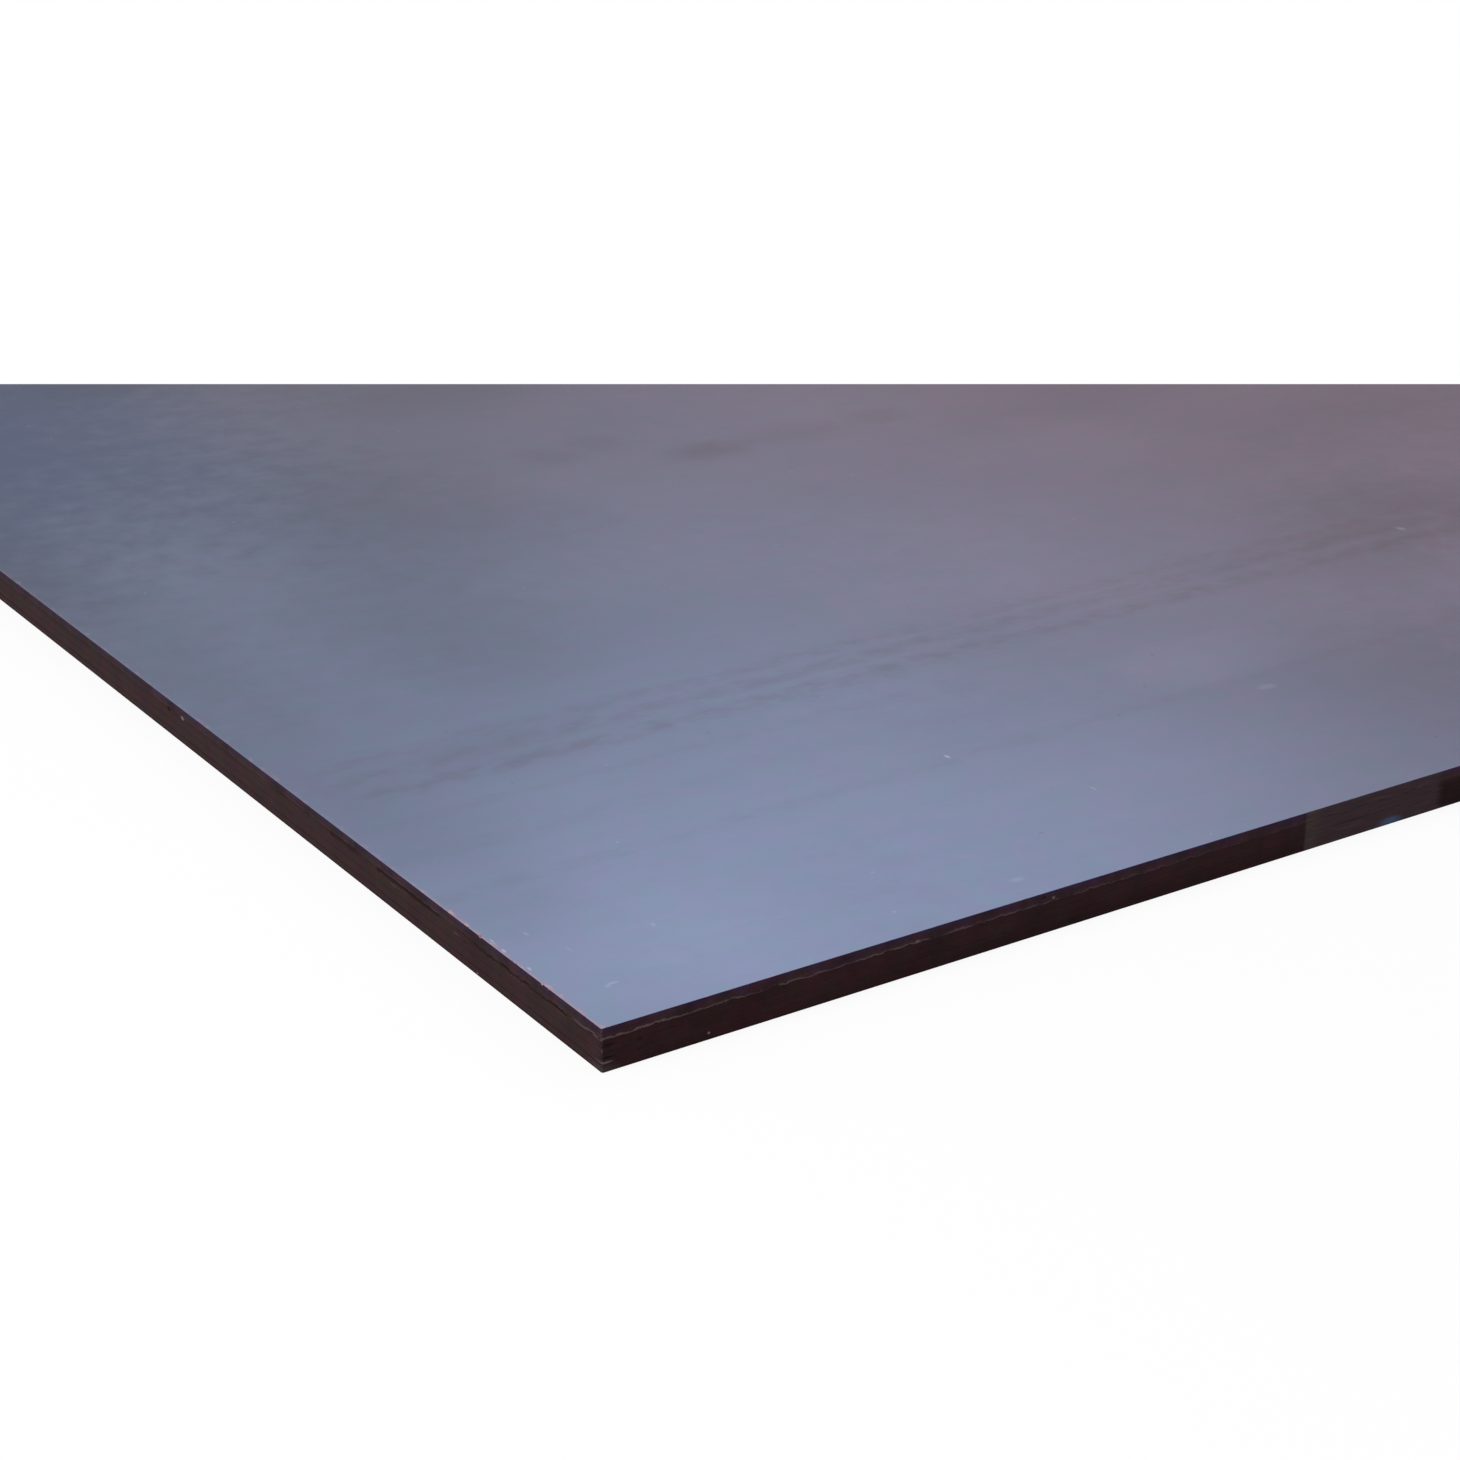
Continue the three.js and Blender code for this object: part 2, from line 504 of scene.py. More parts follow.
@node_group("GeometryNodeTree", joint=0.0, place="Vector", outward="Vector", **LINES)
def glue_line_rule(joint, place, outward, veneers, veneer_thickness, wave_height, wave_length, mouth, depth,
                   open_from_face, open_drop, open_mouth, open_depth, arris, seed):
    half = veneers * 0.5
    from_middle = size_of(joint - half)
    inner = maths("LESS_THAN", from_middle, half - 0.5)

    # The line's height: even steps, and a wave that each inner line has to itself. The weak lines lie lower.
    open_joint = near(from_middle, half - open_from_face)
    which = joint * LINE_SEED_STEP + seed
    wander = noise(place, 1 / wave_length, 3.0, 0.5, which)
    height = joint * veneer_thickness + (wander - 0.5) * wave_height * inner - open_joint * open_drop

    # The groove: an opened joint gapes in patches on the ends, and the outer two stand for the arrises.
    facing_x, _, _ = split(outward)
    patches = ease(noise(place, OPENED_PATCHES, 3.0, 0.6, which), 0.34, 0.54)
    opened = open_joint * size_of(facing_x) * patches
    half_mouth = mix(inner, arris, mix(opened, mouth * 0.5, open_mouth * 0.5))
    groove_depth = mix(inner, arris, mix(opened, depth, open_depth))
    return {"Height": height, "Half Mouth": half_mouth, "Depth": groove_depth, "Inner": inner}


# %% Laminated edge tree
@node_group("GeometryNodeTree", geometry="Geometry", base_height=SHEET_LOW.z + FILM_THICKNESS,
            end_grain_recess=END_GRAIN_RECESS, tear=0.06 * MM, corner_reach=9 * MM, corner_wear=0.2 * MM,
            core_gap_depth=1.0 * MM, material="Material", **LINES)
def laminated_edge(geometry, base_height, end_grain_recess, tear, corner_reach, corner_wear, core_gap_depth,
                   material, **lines):
    count = lines["veneers"] * POINTS_PER_VENEER + 1
    band, lay_up, place, outward = sweep(geometry, count, "lay_up", POINTS_PER_VENEER)

    # Each point's veneer, and which of its four points it is: in the groove, at one of the two lips, or in
    # the middle.
    veneer = maths("FLOOR", lay_up + NEAR_ENOUGH)
    part = lay_up - veneer
    in_groove = maths("LESS_THAN", part, NEAR_ENOUGH)
    lower_lip, upper_lip = (near(part, share) for share in LIP_SHARES)
    middle = near(part, 0.5)

    # Height.
    below = use(glue_line_rule, place, joint=veneer, outward=outward, **lines)
    above = use(glue_line_rule, place, joint=veneer + 1, outward=outward, **lines)
    height = (
        base_height
        + in_groove * below["Height"]
        + lower_lip * (below["Height"] + below["Half Mouth"])
        + middle * (below["Height"] + above["Height"]) * 0.5
        + upper_lip * (above["Height"] - above["Half Mouth"])
    )

    # Recess: even veneers show end grain on the ends, odd ones on the long edges. A groove lies deeper.
    odd = maths("MODULO", veneer, 2.0)
    on_ends = maths("MAXIMUM", 1 - odd, in_groove)
    on_long_edges = maths("MAXIMUM", odd, in_groove * below["Inner"])
    end_grain = noise(place, TORN_FIBRES, 2.0, 0.6, veneer) * tear * middle + end_grain_recess

    # Wear beside a corner, and the gap between two strips of an inner veneer.
    x, y, _ = split(place)
    from_end, from_side = SHEET_HIGH.x - size_of(x), SHEET_HIGH.y - size_of(y)
    from_corner = maths("SQRT", from_end * from_end + from_side * from_side)
    knocked = ease(from_corner, 0.0, corner_reach, 1.0, 0.0) * corner_wear
    gap_here = near(read_field(band.tree, "gap_veneer"), veneer) * read_field(band.tree, "gap")
    cut = in_groove * (below["Depth"] + knocked) + gap_here * core_gap_depth * (1 - in_groove)

    out_x, out_y, _ = split(outward)
    x -= out_x * (on_ends * end_grain + cut)
    y -= out_y * (on_long_edges * end_grain + cut)
    return finish_band(band, x, y, height, chips(place), material)

# %% [markdown]
# An inner veneer is laid in strips. Where two strips stand apart, the gap between them runs out at the edge
# that cuts their ends, as a small square hole that the paint has half filled. Extra points of the outline
# stand at the sides of the gap, so that the hole is crisp. The caps of the veneer panel are bare wood,
# which shows only where the film is chipped.

# %% Veneer panel
GAP_FROM_CORNER = 396 * MM
GAP_VENEER = VENEERS - 3
GAP_HALF_WIDTH = 1.2 * MM
GAP_SLOPE = 0.25 * MM
NO_VENEER = -9.0
FACING_LEFT = -0.99  # the outward x below which a point is on the left end and not on a corner


def gap_fields(places, outwards):
    """For each point of the outline, whether it is in the gap, and in which veneer the gap is."""
    aside = np.abs(places[:, 1] - SHEET_LOW.y - GAP_FROM_CORNER)
    on_left = outwards[:, 0] < FACING_LEFT
    gap = on_left & (aside < GAP_HALF_WIDTH - GAP_SLOPE / 2)
    gap_veneer = np.where(on_left & (aside < 2 * GAP_HALF_WIDTH), GAP_VENEER, NO_VENEER)
    return {"gap": gap, "gap_veneer": gap_veneer}


gap_sides = [side * (GAP_HALF_WIDTH - inset) for side in (-1, 1) for inset in (0, GAP_SLOPE)]
gap_stations = GAP_FROM_CORNER - CORNER_RADIUS + np.array(gap_sides)
places, outwards = sheet_outline(PANEL_FINE_STEP, gap_stations)
panel_outline = outline_mesh(places, outwards, **gap_fields(places, outwards))
panel_mesh = run_tree(laminated_edge, panel_outline, material=edge_finish)
close_rims(panel_mesh, 1, "lay_up", LIP_SHARES)
new_piece("veneer_panel", panel_mesh, [edge_finish, wood_finish])

# %% [markdown]
# ## The two films
#
# Each film is paper soaked in resin and pressed hard on the panel, thinner than a fingernail. It could be
# left to a colour on the panel's face, but then no chip would have a depth or an outline. So each film is a
# thin closed body of its own. The same kind of sweep makes its rounded arris, and a finer outline makes its
# rim ragged. The lower film is the same tree with its thickness turned downwards.

# %% Film tree
@node_group("GeometryNodeTree", geometry="Geometry", bonded_height=0.0, thickness=FILM_THICKNESS,
            setback=0.13 * MM, end_grain_recess=END_GRAIN_RECESS, softening=0.05 * MM, ruffle=0.12 * MM,
            ruffle_length=0.9 * MM, chip_depth=0.8 * MM, rows=4, seed=8.0, material="Material")
def pressed_film(geometry, bonded_height, thickness, setback, end_grain_recess, softening, ruffle,
                 ruffle_length, chip_depth, rows, seed, material):
    # How far through the film each row of points is, from 0 at the panel to 1 at the face.
    band, through, place, outward = sweep(geometry, rows, "through", rows - 1)
    left = 1 - through
    height = (1 - left * left) * thickness + bonded_height

    facing_x, _, _ = split(outward)
    chipped = chips(place)
    inset = (
        size_of(facing_x) * end_grain_recess
        + setback
        + noise(place, 1 / ruffle_length, 2.0, 0.6, seed) * ruffle
        + chipped * chip_depth
        + maths("POWER", through, 4.0) * softening
    )
    x, y, _ = split(place - outward * inset)
    return finish_band(band, x, y, height, chipped, material)


# %% Films
film_places, film_outwards = sheet_outline(FILM_FINE_STEP)
for name, bonded_height, thickness in (
    ("film_top", SHEET_HIGH.z - FILM_THICKNESS, FILM_THICKNESS),
    ("film_underside", SHEET_LOW.z + FILM_THICKNESS, -FILM_THICKNESS),
):
    film_mesh = run_tree(pressed_film, outline_mesh(film_places, film_outwards),
                         bonded_height=bonded_height, thickness=thickness, material=film_finish)
    close_rims(film_mesh, 0)
    new_piece(name, film_mesh, [film_finish])

# %% [markdown]
# ## Shared effects
#
# Specks turn up in all three finishes, and the grain of wood in two, because it shows through the film.
# Each is a shader group with its own inputs, built once and placed in each finish with its own values. So
# is the wear beside an arris, which any other painted or coated piece could use too. All of them work in
# millimetres from the near top corner, which a Mapping node makes from Object coordinates, so sizes can be
# read straight off a ruler.

# %% Grain, dust and wear groups
@node_group("ShaderNodeTree", place="Vector", stretch=14.0, fibre=1.0)
def wood_grain(place, stretch, fibre):
    x, y, z = split(place)
    drawn = join(x / stretch, y, z)
    fibres = noise(drawn, 1 / fibre, 2, 0.6)
    bands = noise(drawn, 0.12 / fibre, 1, 0.5)
    return {"Tone": (fibres + bands) * 0.5, "Height": fibres}


@node_group("ShaderNodeTree", place="Vector", spacing=12.0, speck_size=0.5, share=0.3)
def dust(place, spacing, speck_size, share):
    cells = wires_of(add_node(place.tree, "ShaderNodeTexVoronoi", {"Vector": place, "Scale": 1 / spacing}))
    chance, size, _ = split(cells["Color"])
    present = maths("LESS_THAN", chance, share)
    ragged = noise(place, 2.5, 0) * 0.8 + 0.6
    reach = cells["Distance"] * spacing / (speck_size * (size + 0.3) * 0.5 * ragged)
    return {"Specks": ease(reach, 0.6, 1, 1, 0) * present}


@node_group("ShaderNodeTree", place="Vector", distance=1.0, reach=1.0, patch=6.0, raggedness=1.0)
def arris_wear(place, distance, reach, patch, raggedness):
    patches = noise(place, 1 / patch, 4, 0.65)
    reached = distance / reach + (patches - 0.5) * raggedness * 4
    return {"Wear": ease(reached, 0.4, 1, 1, 0), "Patches": patches}


# %% Helpers for finishes
def rgb(red, green, blue):
    return (red, green, blue, 1)


WHITE = rgb(1, 1, 1)
# A Mix node has sockets for each kind of value. These are the numbers of those for a colour.
MIX_SHARE, MIX_FIRST, MIX_SECOND, MIX_RESULT = 0, 6, 7, 2


def blend(share, first, second):
    """The first colour where the share is 0, and the second where it is 1."""
    feeds = {MIX_SHARE: share, MIX_FIRST: first, MIX_SECOND: second}
    node = add_node(tree_of(share, first, second), "ShaderNodeMix", feeds, data_type="RGBA")
    return Wire(node.outputs[MIX_RESULT])


def paint_over(colour, *coats):
    """Lays coats over a colour one by one, each given by its share and its own colour."""
    for share, coat in coats:
        colour = blend(share, colour, coat)
    return colour


def off_place(place):
    """The same place, shifted, so that one effect can be used twice without its copies coinciding."""
    return place + (131, 57, 23)


def specks(place, spacing, speck_size, share):
    return use(dust, place, spacing=spacing, speck_size=speck_size, share=share)["Specks"]


def make_finish(material, build, bump_distance, specular):
    """Makes a material of a function. From the place in millimetres from the near top corner it gives the
    colour, the roughness, and the height of the relief, of which 1 stands for the bump distance."""
    material.use_nodes = True
    tree = material.node_tree
    here = wires_of(add_node(tree, "ShaderNodeTexCoord"))["Object"]
    feeds = {"Vector": here, "Location": -NEAR_CORNER / MM, "Scale": (1 / MM,) * 3}
    colour, roughness, height = build(add(tree, "ShaderNodeMapping", feeds))
    normal = add(tree, "ShaderNodeBump", {"Height": height, "Distance": bump_distance})
    shader = tree.nodes["Principled BSDF"]
    for name, wire in (("Base Color", colour), ("Roughness", roughness), ("Normal", normal)):
        wire.to(shader.inputs[name])
    shader.inputs["Specular IOR Level"].default_value = specular
    print(material.name, len(tree.nodes), "nodes")


print("helpers for finishes ready")

# %% [markdown]
# ## The film's finish
#
# Phenolic film is dark brown. A slate-blue bloom of resin and water lies over it, thick in one place and
# thin in another. Painted light lies in it too: near the corner it is painted lighter and slate blue, as a
# reflection, and further off it turns mauve and is darker, as painted shade. Rollers that carried the sheet
# have rubbed it in broken rows, and hands and tools in soft smudges. Close to, it is mottled, and small
# dents, dark ticks and pale splashes are scattered over it. Plain noise could stand for all this, but a face
# is believed by its particular marks. So the large clouds and marks are placed one by one, and noise only
# makes them uneven.
#
# Two groups draw what repeats: a rubbed row, and a soft smudge, which the edges use too.

# %% Marks on the film
@node_group("ShaderNodeTree", place="Vector", blobs=0.5, across=240.0, skew=0.02, half_width=5.0, start=0.0,
            end=900.0)
def rubbed_row(place, blobs, across, skew, half_width, start, end):
    x, y, _ = split(place)
    aside = size_of(y - (x * skew + across))
    line = ease(off_centre(blobs, -1.2, aside / half_width), 0.1, 1.2, 1, 0)
    broken = ease(blobs, 0.32, 0.66, 0.25, 1)
    started = ease(x - start, 0, 40)
    ended = ease(x - end, -200, 0, 1, 0)
    return {"Mark": line * broken * started * ended}


@node_group("ShaderNodeTree", place="Vector", centre="Vector", size="Vector", wander=0.0)
def smudge(place, centre, size, wander):
    return {"Mark": ease(length_of((place - centre) / size) + wander, 0.1, 1, 1, 0)}


MARK_HEIGHT = 9  # half the height of a mark in millimetres, so what is on one face stays off the other


def add_marks(total, place, marks, wander):
    """Adds the marks on the face to a total, each at its own strength."""
    for x, y, half_x, half_y, strength in marks:
        mark = use(smudge, place, centre=(x, y, 0), size=(half_x, half_y, MARK_HEIGHT), wander=wander)
        total = mark["Mark"] * strength + total
    return total


# %% Colours and places of the marks
# Slate near the corner is partly a painted reflection.
SLATE_BLOOM_AND_REFLECTION = rgb(0.216, 0.26, 0.402)
MAUVE_BLOOM = rgb(0.36, 0.262, 0.368)
DEEP_BLUE_FILM = rgb(0.037, 0.054, 0.124)
WORN_FILM = rgb(0.06, 0.028, 0.026)
VIOLET_TINT = rgb(1.035, 0.982, 1.015)
TEAL_TINT = rgb(0.965, 1.018, 0.99)
SCUFFED_RIM = rgb(0.375, 0.24, 0.265)
RAW_RIM = rgb(0.52, 0.345, 0.335)
PALE_SPECK = rgb(0.62, 0.64, 0.7)

# All marks but the rows are given by x and y of the centre and the half sizes along them, in millimetres from
# the near corner, and strength.
# Clouds in the bloom, where it lies thicker, or thinner where the strength is negative. The first, over
# the near corner, is mostly a painted highlight.
BLOOM_AND_LIGHT_CLOUDS = [
    (109, 40, 480, 300, 0.32),
    (40, 30, 110, 90, 0.11),
    (100, 250, 70, 45, -0.06),
    (30, 183, 90, 100, -0.08),
    (238, 268, 150, 130, 0.09),
    (416, 417, 330, 360, 0.12),
    (159, 427, 95, 150, -0.08),
    (233, 596, 130, 200, -0.11),
    (0, 616, 60, 150, -0.06),
    (445, 164, 80, 45, 0.07),
    (543, 69, 210, 150, -0.11),
    (370, 10, 120, 60, -0.05),
    (620, 235, 110, 70, -0.05),
    (690, 510, 170, 90, 0.07),
    (711, 287, 150, 110, -0.1),
    (574, 735, 300, 270, 0.15),
    (25, 100, 45, 45, -0.05),
    (370, 840, 110, 90, -0.05),
    (190, 1010, 110, 90, -0.15),
    (840, 560, 130, 90, 0.07),
]
# The far corner is painted dark: next to no bloom, and painted shade where the light falls off.
DARK_FAR_CORNER = (40, 974, 260, 470, 0.8)  # where next to no bloom lies
# Across, half width, start and end in millimetres, and strength. A negative strength is a pale row.
RUBBED_ROWS = [
    (255, 34, -60, 1100, 0.07),
    (234, 8.5, 0, 1100, 0.16),
    (256, 7.5, 0, 1100, 0.12),
    (274, 6.5, -20, 900, 0.1),
    (246, 2.5, 60, 900, -0.06),
    (265, 2.5, 150, 900, -0.05),
    (204, 5, -20, 420, 0.07),
    (168, 10, -60, 260, 0.07),
    (126, 6.5, -20, 700, 0.075),
]
SMUDGES = [
    (363, 665, 30, 34, 0.16),
    (402, 678, 28, 34, 0.16),
    (453, 623, 44, 30, 0.26),
    (525, 627, 90, 30, 0.12),
    (594, 635, 40, 28, 0.14),
    (298, 906, 30, 34, 0.14),
    (327, 476, 60, 70, -0.05),
    (436, 541, 36, 30, -0.09),
]
# Splashes and scratches that caught the light.
PALE_FLECKS = [
    (691, 264, 4, 5, 0.18),
    (262, 135, 1.4, 3.8, 0.4),
    (445, 120, 7, 4, 0.08),
    (292, 71, 1.4, 3.5, 0.22),
    (61, 62, 1.2, 2.6, 0.16),
    (19.5, 27.2, 1.4, 1.1, 0.18),
    (22, 28.5, 3, 1, 0.18),
    (2.3, 84, 0.9, 2.6, 0.4),
    (1.9, 74, 0.9, 2.6, 0.4),
    (2.4, 55.5, 0.9, 2.6, 0.4),
    (16, 82, 0.9, 2.4, 0.12),
    (23, 61, 0.9, 3, 0.1),
    (160, 53.5, 3, 2, 0.1),
    (204, 16, 4, 2.4, 0.1),
]
print(len(BLOOM_AND_LIGHT_CLOUDS), "clouds,", len(RUBBED_ROWS), "rubbed rows,", len(SMUDGES), "smudges")

# %% Phenolic film
SHEET_LENGTH, SHEET_WIDTH = ((high - low) / MM for low, high in zip(SHEET_LOW.xy, SHEET_HIGH.xy))
# Away from the near corner the film is painted darker over the first of these distances, as painted shade,
# and the slate of a painted reflection turns to mauve over the second.
NEAR_PART = 1000  # millimetres from the near corner over which the bloom thins out
SLATE_TO_MAUVE = (150, 1060)  # millimetres along the sheet between which slate turns to mauve
FAR_HALF = (1050, 1900)  # and between which slate comes back
PALE_RIM_ENDS = (110, 170)  # millimetres from the near corner between which the pale rim ends
FILM_ROUGHNESS = (0.44, 0.56)
CLOUD_SCALE, MOTTLE_SCALE, TINT_SCALE, FAR_SCALE = 0.005, 0.045, 0.05, 0.0018  # patches in a millimetre
LONG_EDGE_SHARE = 6  # how many times thinner the scuffed rim is on the long edges


def bloom_cover(place, wander):
    """How thick the bloom lies, from none at 0 to full at 1. It holds painted light too: a painted highlight
    near the corner, and painted shade further off and beside the left end.
    """
    x, y, _ = split(place)
    cover = ease(x, 0, NEAR_PART, 0.7, 0.55) + ease(y, 0, NEAR_PART, 0, -0.27)
    cover = add_marks(cover, place, BLOOM_AND_LIGHT_CLOUDS, wander) + ease(x, 5, 90, -0.09, 0)
    return cover * ease(x, -200, 1300, 0.95, 0.81)


def worn_marks(place, wander):
    """How far the rubbed rows and smudges have worn the bloom away."""
    blobs = noise(place * (1 / 15, 1 / 9, 0), 1, 3, 0.6)
    marks = 0
    for across, half_width, start, end, strength in RUBBED_ROWS:
        row = use(rubbed_row, place, blobs=blobs, across=across, half_width=half_width, start=start, end=end)
        marks = row["Mark"] * strength + marks
    return add_marks(marks, place, SMUDGES, wander)


def film_look(place):
    x, y, _ = split(place)
    clouds = noise(place, CLOUD_SCALE, 3, 0.55)
    mottle = noise(place, MOTTLE_SCALE, 4, 0.62)
    wander = mottle - 0.5

    # Bloom, from slate blue, which near the corner is partly a painted reflection, to mauve, mottled in tone
    # and tint. On the far half slate comes softly back.
    towards_mauve = off_centre(clouds, 260, y * 0.22 + x)
    wide_patches = noise(off_place(place), FAR_SCALE, 3, 0.5)
    slate_again = ease(wide_patches, 0.3, 0.7, 0.1, 0.6) * ease(x, *FAR_HALF)
    colour = blend(ease(towards_mauve, *SLATE_TO_MAUVE) * (1 - slate_again), SLATE_BLOOM_AND_REFLECTION, MAUVE_BLOOM)
    cover = slate_again * 0.1 + bloom_cover(place, wander * 0.4)
    cover = off_centre(mottle, 0.2, off_centre(clouds, 0.1, cover))
    tint = noise(place + (700, 300, 0), TINT_SCALE, 2, 0.6)
    colour = colour * cover * blend(ease(tint, 0.35, 0.65), VIOLET_TINT, TEAL_TINT)
    colour = blend(add_marks(0, place, [DARK_FAR_CORNER], wander), colour, DEEP_BLUE_FILM)

    # Grain telegraphed from the face veneer, and what rollers and hands have worn.
    grain = use(wood_grain, place, stretch=4, fibre=1.8)
    colour = colour * off_centre(grain["Tone"], 0.14, 1)
    colour = blend(worn_marks(place, wander), colour, WORN_FILM)

    # The scuffed rim, pale along the ends and hardly there on the long edges.
    from_end = maths("MINIMUM", x, SHEET_LENGTH - x)
    from_side = maths("MINIMUM", y, SHEET_WIDTH - y)
    from_rim = maths("MINIMUM", from_end, from_side * LONG_EDGE_SHARE)
    scuffed = use(arris_wear, place, distance=from_rim, reach=2, patch=7, raggedness=1)
    pale = scuffed["Wear"] * ease(maths("MAXIMUM", x, y), *PALE_RIM_ENDS, 0.58, 0.1)
    raw = pale * ease(scuffed["Patches"], 0.46, 0.36)

    # Over that lie dark ticks, pale specks of dried splash, and the flecks.
    ticks = specks(place, 17, 2.2, 0.3) * 0.22
    splash = specks(off_place(place), 13, 1.7, 0.3) * 0.14
    flecks = add_marks(0, place, PALE_FLECKS, wander * 2)
    colour = paint_over(colour, (pale, SCUFFED_RIM), (raw, RAW_RIM), (ticks, WORN_FILM),
                        (splash, PALE_SPECK), (flecks, PALE_SPECK))
    return colour, mix(mottle, *FILM_ROUGHNESS), grain["Height"]


make_finish(film_finish, film_look, bump_distance=0.012 * MM, specular=0.12)

# %% [markdown]
# ## The edge paint
#
# Sawn edges drink water, so they are brushed with a thick, dark brown paint. The top veneers took it thinly
# and look lighter and more purple, with an inky line under the arris. Along the second glue line of the
# long edges lies a pale line: squeezed-out glue, and a painted highlight where its ledge catches the light,
# with painted shade below it. On the ends that joint has opened between pale lips, and its dark gape is
# painted shade. The finish reads the panel's own field for the lay-up, which counts veneers from the
# underside, so each colour stays on its veneer however the glue lines wander.

# %% Colours and places on the edges
# The same thick paint is set lighter on the ends than on the long edges: painted light, for the ends face the
# lamp.
END_PAINT = rgb(0.026, 0.0125, 0.0135)
END_PAINT_THIN = rgb(0.0262, 0.0142, 0.018)
LONG_PAINT = rgb(0.022, 0.0088, 0.0104)
LONG_PAINT_THIN = rgb(0.0285, 0.013, 0.0192)
INK_LINE = rgb(0.0255, 0.0122, 0.033)
# Pale glue, with a painted highlight where the ledge of its line catches the light.
GLUE_AND_HIGHLIGHT = rgb(0.1, 0.068, 0.066)
WORN_LIP = rgb(0.056, 0.034, 0.034)
# Dark paint, also laid as painted shade along the bottom, below the pale glue line and in joints beside the
# corner.
PAINT_DARK_AND_SHADE = rgb(0.006, 0.0025, 0.0032)
# The dark of the open joint, and of the gap's hole, is painted shade.
OPEN_JOINT_SHADE = rgb(0.0105, 0.0022, 0.0022)
PLUM_TINT = rgb(1.06, 0.93, 1.05)
OLIVE_TINT = rgb(0.94, 1.06, 0.93)
WARM_TINT = rgb(1.17, 1, 0.83)
COOL_TINT = rgb(0.83, 1, 1.17)
MISSED_PATCH = rgb(0.037, 0.0225, 0.027)
MISSED_START = rgb(0.043, 0.0285, 0.0295)
BLUE_STAIN = rgb(0.05, 0.082, 0.15)
WORN_RIDGE = rgb(0.062, 0.043, 0.038)
FLECK = rgb(0.3, 0.24, 0.23)
GREY_CORNER = rgb(0.052, 0.047, 0.043)
BARE_ARRIS = rgb(0.36, 0.23, 0.215)

# Where the joint on the ends gapes, painted as the shade inside it: from and to, in millimetres from the
# corner, the lowest and highest level that it takes up, counted in veneers, and how dark.
OPEN_RUNS = [
    (23, 90, 6.15, 6.97, 0.85),
    (125, 179, 6.2, 7.3, 0.8),
    (192, 223, 6.3, 7.5, 0.8),
    (242, 300, 6.5, 7.05, 0.4),
]
LIP_HEIGHT = 0.2  # of a veneer

# Single marks: centre in millimetres from the near top corner, half size, strength, and colour. All of them
# reach 9 mm into the sheet.
# The first four dark marks, beside the corner, are painted shade in small open joints, and the marks in the
# open joint's colour are painted shade in a joint and in the gap's hole.
EDGE_MARKS = [
    ((3, 0, -7.2), (5, 9, 0.9), 0.9, PAINT_DARK_AND_SHADE),
    ((2.5, 0, -12.2), (4.5, 9, 0.7), 0.9, PAINT_DARK_AND_SHADE),
    ((16, 0, -8.6), (2.8, 9, 0.8), 0.8, PAINT_DARK_AND_SHADE),
    ((16, 0, -12.6), (2.8, 9, 0.6), 0.7, PAINT_DARK_AND_SHADE),
    ((2, 0, -14.1), (4, 9, 0.8), 0.3, FLECK),
    ((46, 0, -15.2), (0.9, 9, 0.8), 0.6, FLECK),
    ((142, 0, -4), (1.6, 9, 0.7), 0.3, FLECK),
    ((210, 0, -3.2), (1.2, 9, 1), 0.35, FLECK),
    ((205, 0, -1.8), (1.4, 9, 1.2), 0.7, PAINT_DARK_AND_SHADE),
    ((0, 380, -4.5), (9, 2.6, 1.4), 0.55, FLECK),
    ((0, 397.5, -4.5), (9, 4, 1), 0.9, OPEN_JOINT_SHADE),
    ((0, 93, -17), (9, 1, 0.7), 0.5, FLECK),
    ((0, 102, -7.2), (9, 3.2, 0.7), 0.8, OPEN_JOINT_SHADE),
    ((0, 109, -6.5), (9, 4.5, 0.6), 0.9, WORN_LIP),
    ((0, 162, -6.6), (9, 5, 0.6), 0.8, WORN_LIP),
    ((1, 1, -16.8), (9, 12, 2.6), 0.45, GREY_CORNER),
    ((380, 0, -10.3), (28, 9, 0.7), 0.45, PAINT_DARK_AND_SHADE),
    ((402, 0, -16.4), (10, 9, 3), 0.9, BLUE_STAIN),
]
MISSED_FROM, MISSED_TO = 350, 433  # millimetres along the front edge that the brush missed
THICK_ENDS = (470, 520)  # between which the thick paint beyond that patch ends


def read_attribute(tree, name, output="Fac"):
    return wires_of(add_node(tree, "ShaderNodeAttribute", attribute_name=name))[output]


def between(value, low, high, soft):
    """1 between two values, and 0 outside them, with soft ends."""
    return ease(value, low - soft, low + soft) * ease(value, high - soft, high + soft, 1, 0)


def veneers_up(tree):
    """How many veneers lie below a point. The panel's field gives half of each step to the grooves, which are
    far thinner than the veneers, so it is evened out here."""
    lay_up = read_attribute(tree, "lay_up")
    veneer = maths("FLOOR", lay_up)
    feeds = {"Value": lay_up - veneer, "From Min": LIP_SHARES[0], "From Max": LIP_SHARES[1]}
    return veneer + add(tree, "ShaderNodeMapRange", feeds)


print(len(EDGE_MARKS), "single marks on the edges")

# %% Edge paint
# Levels, counted in veneers: where thick paint passes into thin, and where the inky line, the pale line of
# glue with its painted highlight, and the painted shade below it lie.
THIN_FROM, INK_LEVELS, GLUE_HIGHLIGHT_LEVELS, SHADE_LEVELS = (6.8, 7.2), (8.5, 9.5), (6.9, 7.16), (6.6, 6.84)
PAINT_ROUGHNESS = (0.62, 0.77)


